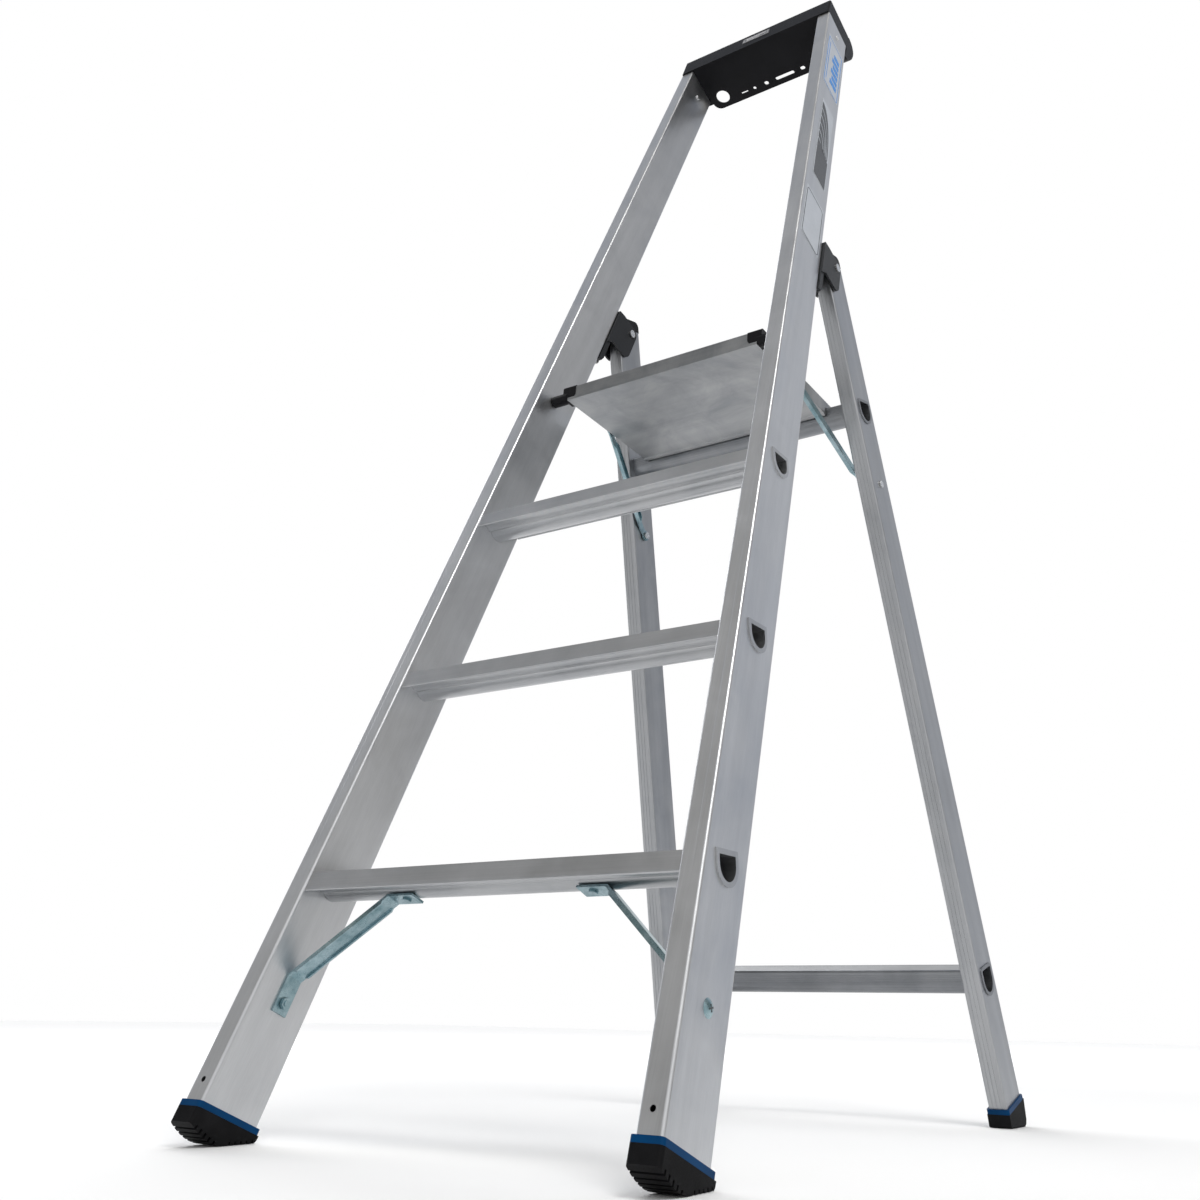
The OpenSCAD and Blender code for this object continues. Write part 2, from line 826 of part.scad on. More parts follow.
// Rounded cap over the top end of a rear leg
module leg_cap(side) {
    cap_h = 18;
    corner = 10;
    half = leg_d / 2 + 0.4;
    inset = 0.4;
    color(plastic_black)
        intersection() {
            along_leg(side, 60)
                translate([-leg_w + inset, -far, 0]) cube([leg_w - 2 * inset, 2 * far, 200]);
            rear_plane()
                translate([0, 0, leg_above_hinge + contact])
                    side_extrude(-far, far) {
                        translate([-half, 0]) square([2 * half, cap_h - corner]);
                        intersection() {
                            rounded_rect(-half, -corner, half, cap_h, corner);
                            translate([-half, 0]) square([2 * half, cap_h]);
                        }
                    }
        }
}

strut_leg_y = leg_y(strut_leg_q, 0);
strut_leg_z = leg_z(strut_leg_q, 0);

module strut_bore(extra) {
    ladder() cross_rod(-far, far, strut_leg_y, strut_leg_z, strut_pin_r + extra);
}

// Tube between the rear legs, grooved in front and flared over their outer faces
module crossbar(q) {
    rim_t = 1.4;
    color(alu_dark)
        difference() {
            union() {
                intersection() {
                    bar_solid(q, 0);
                    between_legs(rim_t, "outer");
                }
                difference() {
                    intersection() {
                        bar_solid(q, 2.4);
                        between_legs(rim_t, "outer");
                    }
                    between_legs(contact, "outer");
                }
            }
            bar_solid(q, -1.8);
            intersection() {
                rear_plane()
                    for (z = [0 : 2.6 : 11])
                        translate([-far, -bar_w / 2 - 1, -q + z - 0.5])
                            cube([2 * far, 1.6, 1.2]);
                between_legs(-1);
            }
        }
}

// ---------------------------------------------------------------- rear feet

// Filling that sits loosely inside a leg between two distances down the rear frame
module leg_plug(side, q0, q1) {
    gap = leg_wall + 0.3;
    intersection() {
        along_leg(side, leg_end + 30)
            linear_extrude(height = 160)
                rounded_rect(-leg_w + gap, -leg_d / 2 + gap, -gap, leg_d / 2 - gap, 1);
        rear_slab(q0, q1);
    }
}

module rear_foot(side) {
    grip = rear_foot_side;
    q0 = rear_collar_q + collar_h;
    front_y = leg_y(q0, -leg_d / 2 - grip);
    back_y = leg_y(q0, leg_d / 2 + heel_back);
    color(plastic_black)
        difference() {
            union() {
                intersection() {
                    ladder()
                        side_extrude(-far, far)
                            polygon([
                                [front_y, leg_z(q0, -leg_d / 2 - grip)],
                                [front_y + 2, 1.5], [front_y + 4, 0],
                                [back_y - 9, 0], [back_y - 3, 2.5], [back_y, 8],
                                [back_y, leg_z(q0, leg_d / 2 + heel_back)]
                            ]);
                    along_leg(side, rear_collar_q)
                        translate([-leg_w - grip, -leg_d, -100])
                            cube([leg_w + 2 * grip, 2 * leg_d, 200]);
                }
                leg_plug(side, rear_collar_q - 16, leg_end + 2);
            }
            // Seat for the end of the leg
            difference() {
                intersection() {
                    along_leg(side, leg_end + 20)
                        translate([-leg_w - contact, -leg_d / 2 - contact, 0])
                            cube([leg_w + 2 * contact, leg_d + 2 * contact, 100]);
                    rear_slab(leg_end - 60, leg_end + contact);
                }
                leg_plug(side, leg_end - 80, leg_end + 20);
            }
            // Grip ribs
            for (y = [front_y + 10 : 6 : back_y - 12])
                ladder() side_extrude(-far, far) translate([y, -1]) square([2, 2.2]);
        }
}

module rear_collar(side) {
    color(collar_blue)
        intersection() {
            along_leg(side, leg_end)
                translate([0, -leg_d / 2, 0])
                    linear_extrude(height = 100)
                        collar_ring(leg_w, leg_d, rear_foot_side, 2.5, 2.5);
            rear_slab(rear_collar_q, rear_collar_q + collar_h - contact);
        }
}

// ---------------------------------------------------------------- struts

strut_deck_y = pivot_y + 95.2;
strut_deck_z = pivot_z + 0.5;
strut_t = 2.4;
strut_w = 11;
eye_r = 8;
strut_deck_x = deck_half + 1;
strut_leg_x = leg_inner_half(strut_leg_q) - 1.4;

// Pressed channel with a flat eye at each end
module strut(side) {
    run_y = strut_leg_y - strut_deck_y;
    run_z = strut_leg_z - strut_deck_z;
    run = norm([run_y, run_z]);
    tilt = atan2(run_z, run_y);
    x0 = strut_deck_x;
    x1 = strut_leg_x - strut_t;
    eye_run = 15;
    flange_t = 1.6;
    flange_deep = 3.6;
    flange_0 = 34;
    flange_1 = run - 24;
    // Inner face of the strip, s along the strut from its deck end
    function strut_x(s) = x0 + (x1 - x0) * (s - eye_run) / (run - 2 * eye_run);
    color(zinc)
        mirror([side < 0 ? 1 : 0, 0, 0])
            difference() {
                ladder() {
                    cross_rod(x0, x0 + strut_t, strut_deck_y, strut_deck_z, eye_r);
                    cross_rod(x1, x1 + strut_t, strut_leg_y, strut_leg_z, eye_r);
                    // Seen from above, the strip steps outwards on its way to the leg
                    translate([0, strut_deck_y, strut_deck_z])
                        rotate([tilt, 0, 0])
                            translate([0, 0, -strut_w / 2])
                                linear_extrude(height = strut_w)
                                    polygon([
                                        [x0, 0], [x0 + strut_t, 0],
                                        [x0 + strut_t, eye_run], [x1 + strut_t, run - eye_run],
                                        [x1 + strut_t, run], [x1, run],
                                        [x1, run - eye_run], [x0, eye_run]
                                    ]);
                    // Flanges of the channel, clear of the deck and of the leg
                    translate([0, strut_deck_y, strut_deck_z])
                        rotate([tilt, 0, 0])
                            for (z = [-strut_w / 2, strut_w / 2 - flange_t])
                                translate([0, 0, z])
                                    linear_extrude(height = flange_t)
                                        polygon([
                                            [strut_x(flange_0), flange_0],
                                            [strut_x(flange_0 + 8) - flange_deep, flange_0 + 8],
                                            [strut_x(flange_1 - 8) - flange_deep, flange_1 - 8],
                                            [strut_x(flange_1), flange_1],
                                            [strut_x(flange_1) + 1, flange_1],
                                            [strut_x(flange_0) + 1, flange_0]
                                        ]);
                }
                strut_bore(running);
                ladder() cross_rod(-far, far, strut_deck_y, strut_deck_z, strut_pin_r + contact);
            }
}

// Pivot of a strut on its rear leg
module strut_pins_lower() {
    x_in = strut_leg_x - strut_t - 1.2;
    x_out = leg_outer_half(strut_leg_q) + 0.6;
    color(steel)
        for (side = [RIGHT, LEFT])
            mirror([side < 0 ? 1 : 0, 0, 0])
                ladder() {
                    cross_rod(x_in, x_out, strut_leg_y, strut_leg_z, strut_pin_r);
                    cross_rod(x_in - 2, x_in + 0.6, strut_leg_y, strut_leg_z, 5.5);
                    cross_rod(x_out, x_out + 1.8, strut_leg_y, strut_leg_z, 5.2);
                }
}

// Rivet at the deck end of a strut
module strut_pin(side) {
    color(steel)
        mirror([side < 0 ? 1 : 0, 0, 0])
            ladder() {
                cross_rod(strut_deck_x, strut_deck_x + strut_t + 1, strut_deck_y, strut_deck_z, strut_pin_r);
                cross_rod(strut_deck_x + strut_t + contact, strut_deck_x + strut_t + 2.2,
                    strut_deck_y, strut_deck_z, 5.5);
            }
}

// ---------------------------------------------------------------- platform

// The deck leans back a little to rest on the upper crossbar. Its side view is drawn
// from the pivot: first number behind it, second above it
deck_tilt = 2.9;
deck_top = 15;
deck_low = deck_top - deck_t;
deck_front = -6.7;
deck_skin = 2.2;
deck_rest = 204.3;
cap_x = 143;
cap_out = 165;
cap_deep = 26;
cap_low = deck_low + 3;

module deck_plane() {
    ladder() translate([0, pivot_y, pivot_z]) rotate([-deck_tilt, 0, 0]) children();
}

// Side view of the platform: a box in front, a thin tongue over the crossbar behind
module deck_outline() {
    nose_r = 3;
    seat = 4.1;
    slant = tan(rear_lean + deck_tilt);
    back = deck_front + deck_depth;
    difference() {
        union() {
            polygon([
                [deck_front + nose_r, deck_low], [deck_rest - 8, deck_low],
                [deck_rest - 5, deck_low - 1.6], [deck_rest, deck_low - 1.6],
                [deck_rest, seat], [back, seat + (back - deck_rest) * slant],
                [back, deck_top - 1.5], [back - 1.5, deck_top],
                [deck_front + nose_r, deck_top]
            ]);
            translate([deck_front, deck_low]) square([nose_r + 1, deck_t - nose_r]);
            translate([deck_front + nose_r, deck_top - nose_r]) circle(r = nose_r, $fn = small_fn);
        }
        for (y = [deck_front + 10 : 6 : back - 4])
            translate([y, deck_top - 0.8]) square([1.6, 1]);
    }
}

// The platform's inner chambers, closed at both ends and joined by a drain hole
module deck_chambers() {
    chambers = 3;
    pitch = (deck_rest - 3 - deck_front) / chambers;
    side_extrude(-deck_half + deck_skin, deck_half - deck_skin)
        for (i = [0 : chambers - 1])
            translate([deck_front + 4 + i * pitch, deck_low + deck_skin])
                square([pitch - deck_skin - 1, deck_t - 2 * deck_skin - 0.8]);
    translate([0, 20, deck_low + 6.5])
        rotate([-90, 0, 0])
            cylinder(h = deck_rest, r = 2.5, $fn = small_fn);
}

// Space taken by an end cap at the deck's front corner, grown by g
module cap_body(g) {
    corner = 7;
    intersection() {
        side_extrude(cap_x - g, cap_out + g)
            rounded_rect(deck_front - 1 - g, cap_low - g, deck_front + cap_deep + g, deck_top + 1 + g, 4);
        translate([0, 100, 0])
            rotate([90, 0, 0])
                linear_extrude(height = 200)
                    rounded_rect(cap_x - g, cap_low - g, cap_out + 30, deck_top + 30, corner);
    }
}

module platform_deck() {
    color(alu_dark)
        difference() {
            deck_plane() side_extrude(-deck_half, deck_half) deck_outline();
            deck_plane() deck_chambers();
            for (side = [RIGHT, LEFT])
                mirror([side < 0 ? 1 : 0, 0, 0]) deck_plane() cap_body(contact);
        }
}

// Moulded corner with the stub axle that turns in the stile
module platform_cap(side) {
    boss_r = 8.5;
    stub_end = inner_half(pivot_q) + stile_wall + 7;
    boss_end = inner_half(pivot_q) - 1.1;
    color(plastic_black)
        mirror([side < 0 ? 1 : 0, 0, 0]) {
            deck_plane() cap_body(0);
            ladder() {
                cross_rod(deck_half + 1, boss_end, pivot_y, pivot_z, boss_r);
                cross_rod(boss_end - 1, stub_end, pivot_y, pivot_z, pivot_stub_r);
            }
        }
}

// ---------------------------------------------------------------- the parts

front_stile(RIGHT);  // front_stile_right
front_stile(LEFT);  // front_stile_left
step(0);  // step_lower
step(1);  // step_middle
step(2);  // step_upper
top_tray();
tray_bolts();
tray_badge();
brace(RIGHT);  // brace_right
brace(LEFT);  // brace_left
brace_bolts();
brace_rivets();
front_foot(RIGHT);  // front_foot_right
front_foot(LEFT);  // front_foot_left
front_collar(RIGHT);  // front_collar_right
front_collar(LEFT);  // front_collar_left
hinge_bracket(RIGHT);  // hinge_bracket_right
hinge_bracket(LEFT);  // hinge_bracket_left
bracket_rivets();
hinge_pin(RIGHT);  // hinge_pin_right
hinge_pin(LEFT);  // hinge_pin_left
stile_labels();
rear_leg(RIGHT);  // rear_leg_right
rear_leg(LEFT);  // rear_leg_left
leg_cap(RIGHT);  // leg_cap_right
leg_cap(LEFT);  // leg_cap_left
crossbar(upper_bar_q);  // crossbar_upper
crossbar(lower_bar_q);  // crossbar_lower
rear_foot(RIGHT);  // rear_foot_right
rear_foot(LEFT);  // rear_foot_left
rear_collar(RIGHT);  // rear_collar_right
rear_collar(LEFT);  // rear_collar_left
strut_pins_lower();
platform_deck();
platform_cap(RIGHT);  // platform_cap_right
platform_cap(LEFT);  // platform_cap_left
strut(RIGHT);  // strut_right
strut(LEFT);  // strut_left
strut_pin(RIGHT);  // strut_pin_right
strut_pin(LEFT);  // strut_pin_left
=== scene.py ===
"""Looks of the platform step ladder: camera, studio, materials and small surface details."""

import json
import math

import bmesh
import bpy
from mathutils import Matrix, Vector


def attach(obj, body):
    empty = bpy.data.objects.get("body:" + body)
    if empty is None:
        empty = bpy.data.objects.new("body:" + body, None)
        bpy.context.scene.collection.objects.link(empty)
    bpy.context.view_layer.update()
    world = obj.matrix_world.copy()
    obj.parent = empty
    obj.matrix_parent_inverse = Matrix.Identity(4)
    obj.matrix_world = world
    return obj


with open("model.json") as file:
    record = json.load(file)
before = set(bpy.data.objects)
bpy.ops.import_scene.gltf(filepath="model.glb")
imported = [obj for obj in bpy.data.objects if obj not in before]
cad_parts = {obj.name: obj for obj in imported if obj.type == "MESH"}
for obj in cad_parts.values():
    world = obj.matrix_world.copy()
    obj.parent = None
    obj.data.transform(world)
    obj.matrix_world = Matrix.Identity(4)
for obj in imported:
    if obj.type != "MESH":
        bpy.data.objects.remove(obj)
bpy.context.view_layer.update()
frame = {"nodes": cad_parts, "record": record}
NODES = frame["nodes"]
SLOT_OF = {p["node"]: p["material_slot"] for p in frame["record"]["subparts"]}

# Leans of the two frames away from vertical, as in the CAD, in radians
FRONT_LEAN = math.radians(20.9)
REAR_LEAN = math.radians(15.0)
FLARE = math.radians(3.35)


# ---------------------------------------------------------------- camera and studio

def make_camera():
    """A low, close view from the climber's right, looking up."""
    heading, rise, roll = math.radians(32.72), math.radians(25.18), math.radians(1.16)
    data = bpy.data.cameras.new("camera")
    data.sensor_width = 36.0
    data.lens = 35.37
    data.shift_x = -0.0593
    data.shift_y = -0.1142
    data.clip_start = 0.01
    data.dof.use_dof = False
    camera = bpy.data.objects.new("camera", data)
    bpy.context.scene.collection.objects.link(camera)
    turn = (Matrix.Rotation(heading, 4, "Z") @ Matrix.Rotation(math.pi / 2 + rise, 4, "X")
            @ Matrix.Rotation(roll, 4, "Z"))
    camera.matrix_world = Matrix.Translation((0.7948, -1.2597, 0.1174)) @ turn
    bpy.context.scene.camera = camera


def area_light(name, spot, target, size, power, colour=(1, 1, 1)):
    data = bpy.data.lights.new(name, "AREA")
    data.shape = "RECTANGLE"
    data.size, data.size_y = size
    data.energy = power
    data.color = colour
    light = bpy.data.objects.new(name, data)
    bpy.context.scene.collection.objects.link(light)
    spot = Vector(spot)
    light.location = spot
    light.rotation_euler = (Vector(target) - spot).to_track_quat("-Z", "Y").to_euler()


def fill_ramp(ramp, stops):
    """Sets the stops of a colour ramp node; a shade is a colour or one level of grey."""
    points = ramp.color_ramp.elements
    while len(points) < len(stops):
        points.new(0.5)
    for point, (where, shade) in zip(points, stops):
        point.position = where
        point.color = (*shade, 1) if isinstance(shade, tuple) else (shade, shade, shade, 1)


def make_world():
    """Surroundings that look white and light the ladder with a gradient."""
    world = bpy.data.worlds.new("studio")
    bpy.context.scene.world = world
    world.use_nodes = True
    tree = world.node_tree
    nodes, links = tree.nodes, tree.links
    nodes.clear()
    out = nodes.new("ShaderNodeOutputWorld")
    background = nodes.new("ShaderNodeBackground")
    coords = nodes.new("ShaderNodeTexCoord")
    towards = nodes.new("ShaderNodeVectorMath")
    towards.operation = "DOT_PRODUCT"
    towards.inputs[1].default_value = Vector((-0.60, 0.78, 0.18)).normalized()
    ramp = nodes.new("ShaderNodeValToRGB")
    ramp.color_ramp.interpolation = "EASE"
    # From the right in front (0) to the left behind (1): the narrow bright band puts a line of light
    # on the rounded edges, the warm one shows in the stile's front and the blue one in its side
    fill_ramp(ramp, ((0.0, 0.80), (0.26, 0.85), (0.30, 1.3), (0.35, 0.20), (0.50, (0.36, 0.35, 0.33)),
                     (0.60, (0.66, 0.635, 0.585)), (0.69, (0.28, 0.335, 0.45)), (0.84, 1.0)))
    shift = nodes.new("ShaderNodeMath")
    shift.operation = "MULTIPLY_ADD"
    shift.inputs[1].default_value = 0.5
    shift.inputs[2].default_value = 0.5
    links.new(coords.outputs["Generated"], towards.inputs[0])
    links.new(towards.outputs["Value"], shift.inputs[0])
    links.new(shift.outputs[0], ramp.inputs[0])
    # Seen directly, the surroundings are plain white
    seen = nodes.new("ShaderNodeLightPath")
    shown = nodes.new("ShaderNodeMix")
    shown.data_type = "RGBA"
    shown.inputs[7].default_value = (1, 1, 1, 1)
    links.new(seen.outputs["Is Camera Ray"], shown.inputs[0])
    links.new(ramp.outputs[0], shown.inputs[6])
    links.new(shown.outputs[2], background.inputs[0])
    background.inputs[1].default_value = 1.0
    links.new(background.outputs[0], out.inputs[0])


def make_studio():
    """Pale floor, soft lights and a white world."""
    mesh = bpy.data.meshes.new("floor")
    half = 9.0
    corners = [(-half, -half, 0), (half, -half, 0), (half, half, 0), (-half, half, 0)]
    mesh.from_pydata(corners, [], [(0, 1, 2, 3)])
    floor = bpy.data.objects.new("floor", mesh)
    bpy.context.scene.collection.objects.link(floor)
    just_below_feet = -0.0005
    floor.location.z = just_below_feet
    paint = Material("floor_paint")
    noise = paint.noise(scale=3.0)
    paint.colour(paint.ramp(noise, [(0.0, (0.94, 0.94, 0.94)), (1.0, (0.97, 0.97, 0.97))]))
    paint.set("Roughness", 0.85)
    # The far floor fades into the white surroundings
    reach = paint.node("ShaderNodeVectorMath")
    reach.operation = "LENGTH"
    paint.link(paint.coords, reach.inputs[0])
    share = paint.math("MULTIPLY", reach.outputs["Value"], 1 / half)
    glow = paint.ramp(share, [(0.16, 0.0), (0.42, 0.30)])
    paint.drive("Emission Color", glow)
    paint.set("Emission Strength", 1.0)
    mesh.materials.append(paint.material)
    make_world()
    mid_ladder = (0, 0, 0.8)
    area_light("key", (2.1, -1.3, 3.6), mid_ladder, (1.5, 1.5), 62, (1.0, 0.99, 0.97))
    area_light("fill_left", (-3.0, 0.7, 2.3), mid_ladder, (1.8, 1.8), 24)
    area_light("floor_wash", (-2.6, 2.6, 3.2), (-1.0, 2.2, 0), (2.4, 2.0), 40)
    bpy.context.scene.view_settings.view_transform = "Standard"


# ---------------------------------------------------------------- materials

class Material:
    """A principled material whose colour, roughness and bump come from procedural nodes."""

    def __init__(self, name):
        self.material = bpy.data.materials.new(name)
        self.material.use_nodes = True
        self.tree = self.material.node_tree
        self.shader = self.tree.nodes["Principled BSDF"]
        self.coords = self.tree.nodes.new("ShaderNodeTexCoord").outputs["Object"]
        self.height = None

    def node(self, kind, **inputs):
        made = self.tree.nodes.new(kind)
        for key, value in inputs.items():
            made.inputs[key.replace("_", " ")].default_value = value
        return made

    def link(self, source, socket):
        self.tree.links.new(source, socket)

    def set(self, name, value):
        """A value that is the same all over the surface."""
        self.shader.inputs[name].default_value = value

    def drive(self, name, source):
        self.link(source, self.shader.inputs[name])

    def colour(self, source):
        self.drive("Base Color", source)

    def space(self, turn, stretch):
        """Object coordinates turned and then stretched."""
        turned = self.node("ShaderNodeMapping", Rotation=turn)
        self.link(self.coords, turned.inputs["Vector"])
        scaled = self.node("ShaderNodeMapping", Scale=stretch)
        self.link(turned.outputs[0], scaled.inputs["Vector"])
        return scaled.outputs[0]

    def noise(self, scale, detail=4.0, rough=0.55, vector=None, distortion=0.0):
        made = self.node("ShaderNodeTexNoise", Scale=scale, Detail=detail, Roughness=rough,
                         Distortion=distortion)
        self.link(vector or self.coords, made.inputs["Vector"])
        return made.outputs["Fac"]

    def ramp(self, source, stops):
        made = self.node("ShaderNodeValToRGB")
        fill_ramp(made, stops)
        self.link(source, made.inputs[0])
        return made.outputs[0]

    def mix(self, factor, first, second):
        made = self.node("ShaderNodeMix")
        made.data_type = "RGBA"
        sockets = (made.inputs[0], made.inputs[6], made.inputs[7])
        for socket, value in zip(sockets, (factor, first, second)):
            if isinstance(value, (int, float)):
                socket.default_value = value
            elif isinstance(value, tuple):
                socket.default_value = (*value, 1)
            else:
                self.link(value, socket)
        return made.outputs[2]

    def math(self, operation, first, second):
        made = self.node("ShaderNodeMath")
        made.operation = operation
        for socket, value in zip(made.inputs, (first, second)):
            if isinstance(value, (int, float)):
                socket.default_value = value
            else:
                self.link(value, socket)
        return made.outputs[0]

    def bump(self, source, distance):
        """Adds one layer of relief, distance in metres."""
        made = self.node("ShaderNodeBump", Strength=1.0, Distance=distance)
        self.link(source, made.inputs["Height"])
        if self.height is not None:
            self.link(self.height, made.inputs["Normal"])
        self.height = made.outputs[0]
        self.drive("Normal", self.height)


def grey(level):
    return (level, level, level)


def aluminium(name, turn, along, tone=0.0, dull=0.0, mottled=0.25):
    """Mill-finish aluminium, drawn along one axis of the turned space (0 for X, 2 for Z)."""
    m = Material(name)
    fine, wide, scratch = [900.0] * 3, [55.0] * 3, [2600.0] * 3
    fine[along], wide[along], scratch[along] = 5.0, 1.1, 60.0
    streaks = m.noise(1.0, 5.0, 0.6, m.space(turn, tuple(fine)))
    bands = m.noise(1.0, 3.0, 0.5, m.space(turn, tuple(wide)))
    marks = m.noise(1.0, 2.0, 0.5, m.space(turn, tuple(scratch)))
    cloud = m.noise(11.0, 6.0, 0.62, distortion=0.8)
    stain = m.noise(4.5, 4.0, 0.6, distortion=0.4)
    base = 0.60 + tone
    dark_streak = (base - 0.07, base - 0.055, base - 0.03)
    pale_streak = (base + 0.03, base + 0.045, base + 0.07)
    shade = m.ramp(streaks, [(0.3, dark_streak), (0.7, pale_streak)])
    band_shade = m.ramp(bands, [(0.35, grey(base - 0.10)), (0.65, grey(base + 0.08))])
    shade = m.mix(0.35, shade, band_shade)
    dark_cloud = (base - 0.14, base - 0.13, base - 0.12)
    cloud_shade = m.ramp(cloud, [(0.34, dark_cloud), (0.7, grey(base + 0.10))])
    shade = m.mix(mottled, shade, cloud_shade)
    dark_stain = (base - 0.16, base - 0.155, base - 0.15)
    shade = m.mix(m.ramp(stain, [(0.56, 0.0), (0.72, 0.30)]), shade, dark_stain)
    shade = m.mix(m.ramp(marks, [(0.70, 0.0), (0.80, 0.5)]), shade, grey(base + 0.2))
    m.colour(shade)
    m.set("Metallic", 1.0)
    streak_rough = m.ramp(streaks, [(0.25, 0.30 + dull), (0.75, 0.44 + dull)])
    cloud_rough = m.ramp(cloud, [(0.3, 0.27 + dull), (0.75, 0.50 + dull)])
    m.drive("Roughness", m.mix(0.5, streak_rough, cloud_rough))
    m.bump(bands, 0.00010)
    m.bump(streaks, 0.00005)
    return m.material


def zinc_steel():
    """Bluish zinc plating with faint blotches."""
    m = Material("zinc_steel")
    blotch = m.noise(55.0, 4.0, 0.6)
    fine = m.noise(700.0, 3.0, 0.5)
    m.colour(m.ramp(blotch, [(0.3, (0.15, 0.25, 0.28)), (0.7, (0.38, 0.49, 0.53))]))
    m.set("Metallic", 1.0)
    m.drive("Roughness", m.ramp(fine, [(0.3, 0.24), (0.7, 0.40)]))
    m.bump(fine, 0.00004)
    return m.material


def rivet_steel():
    """Bright plain steel of the rivets."""
    m = Material("rivet_steel")
    fine = m.noise(500.0, 3.0, 0.5)
    m.colour(m.ramp(fine, [(0.3, (0.60, 0.60, 0.59)), (0.7, (0.78, 0.78, 0.77))]))
    m.set("Metallic", 1.0)
    m.drive("Roughness", m.ramp(fine, [(0.3, 0.22), (0.7, 0.36)]))
    m.bump(fine, 0.00004)
    return m.material


def moulded_plastic(name, shade, rough=0.42, shine=0.14):
    """Dark moulded plastic with a fine spark-eroded grain."""
    m = Material(name)
    grit = m.noise(1400.0, 3.0, 0.6)
    cloud = m.noise(14.0, 3.0, 0.5)
    dark = tuple(c * 0.75 for c in shade)
    light = tuple(c * 1.35 for c in shade)
    m.colour(m.ramp(cloud, [(0.3, dark), (0.7, light)]))
    m.drive("Roughness", m.ramp(grit, [(0.3, rough - 0.08), (0.7, rough + 0.10)]))
    m.set("Specular IOR Level", shine)
    m.bump(grit, 0.00008)
    return m.material


def foot_rubber():
    """Black rubber with a little dust."""
    m = Material("foot_rubber")
    grit = m.noise(900.0, 4.0, 0.65)
    dust = m.noise(35.0, 5.0, 0.6)
    m.colour(m.ramp(dust, [(0.35, (0.003, 0.003, 0.0035)), (0.75, (0.009, 0.009, 0.010))]))
    m.drive("Roughness", m.ramp(grit, [(0.3, 0.50), (0.7, 0.68)]))
    m.set("Specular IOR Level", 0.09)
    m.bump(grit, 0.00012)
    return m.material


def label_film(name, low, high, metal=0.0):
    """Smooth film or plate whose shade wanders from low to high."""
    m = Material(name)
    sheen = m.noise(30.0, 3.0, 0.5)
    m.colour(m.ramp(sheen, [(0.3, low), (0.7, high)]))
    m.set("Metallic", metal)
    m.drive("Roughness", m.ramp(m.noise(300.0), [(0.3, 0.30), (0.7, 0.40)]))
    m.bump(m.noise(120.0, 2.0), 0.00002)
    return m.material


def print_ink(name, low, high):
    """Printing ink with slightly uneven cover."""
    m = Material(name)
    cover = m.noise(260.0, 4.0, 0.6)
    m.colour(m.ramp(cover, [(0.3, low), (0.7, high)]))
    m.drive("Roughness", m.ramp(m.noise(900.0), [(0.3, 0.36), (0.7, 0.50)]))
    return m.material


FRONT_TURN = (FRONT_LEAN, 0, 0)
REAR_TURN = (-REAR_LEAN, 0, 0)


def make_materials():
    """One finish for each material slot of the record."""
    return {
        "stile_aluminium": aluminium("stile_aluminium", FRONT_TURN, 2, -0.02),
        "tread_aluminium": aluminium("tread_aluminium", (0, 0, 0), 0, -0.14, 0.0, 0.35),
        "deck_aluminium": aluminium("deck_aluminium", (0, 0, 0), 0, -0.28, 0.06, 0.6),
        "leg_aluminium": aluminium("leg_aluminium", REAR_TURN, 2, -0.20),
        "crossbar_aluminium": aluminium("crossbar_aluminium", REAR_TURN, 0, -0.35),
        "tray_plastic": moulded_plastic("tray_plastic", (0.005, 0.005, 0.006), 0.38, 0.10),
        "black_plastic": moulded_plastic("black_plastic", (0.005, 0.005, 0.006), 0.42),
        "bracket_plastic": moulded_plastic("bracket_plastic", (0.010, 0.011, 0.013), 0.45, 0.24),
        "foot_rubber": foot_rubber(),
        "blue_collar": moulded_plastic("blue_collar", (0.0010, 0.036, 0.110), 0.36, 0.06),
        "zinc_steel": zinc_steel(),
        "rivet_steel": rivet_steel(),
        "label_film": label_film("label_film", (0.58, 0.60, 0.62), (0.64, 0.66, 0.68), 0.85),
        "badge_plate": label_film("badge_plate", (0.10, 0.10, 0.105), (0.13, 0.13, 0.135)),
    }


def dress_nodes(finishes):
    for name, obj in NODES.items():
        obj.data.materials.clear()
        obj.data.materials.append(finishes[SLOT_OF[name]])


# ---------------------------------------------------------------- printed and pressed details

JOINTS = frame["record"]["behaviour"]["joints"]
HINGE = Vector(next(joint["pos_m"] for joint in JOINTS if joint["name"] == "rear_fold"))
# The hinge sits this far up the front frame's slope and behind its front face
HINGE_UP, HINGE_BACK = 1.264, 0.1173
# From the middle of the ladder to a stile's outer face at the floor
STILE_FOOT_HALF = 0.271
# Thickness of the print, and how far out from the stile's face it lies on the stickers
INK_THICK, INK_OUT = 0.00012, 0.00047
# The stickers: start up the stile, length, width and gap to the stile's front edge
LOW_STICKER = (1.224, 0.122, 0.057, 0.009)
MIDDLE_STICKER = (1.396, 0.230, 0.042, 0.019)
TOP_STICKER = (1.680, 0.172, 0.057, 0.010)


def front_frame_matrix():
    """X across, Y into the stile's depth, Z up the slope of the front frame."""
    turn = Matrix.Rotation(-FRONT_LEAN, 4, "X")
    return Matrix.Translation(HINGE - (turn @ Vector((0, HINGE_BACK, HINGE_UP)))) @ turn


def stile_matrix(side):
    """Origin at the floor end of a stile's outer face, Z along the stile."""
    flip = Matrix.Diagonal((side, 1, 1, 1))
    outward = Matrix.Translation((STILE_FOOT_HALF, 0, 0)) @ Matrix.Rotation(-FLARE, 4, "Y")
    return flip @ front_frame_matrix() @ outward


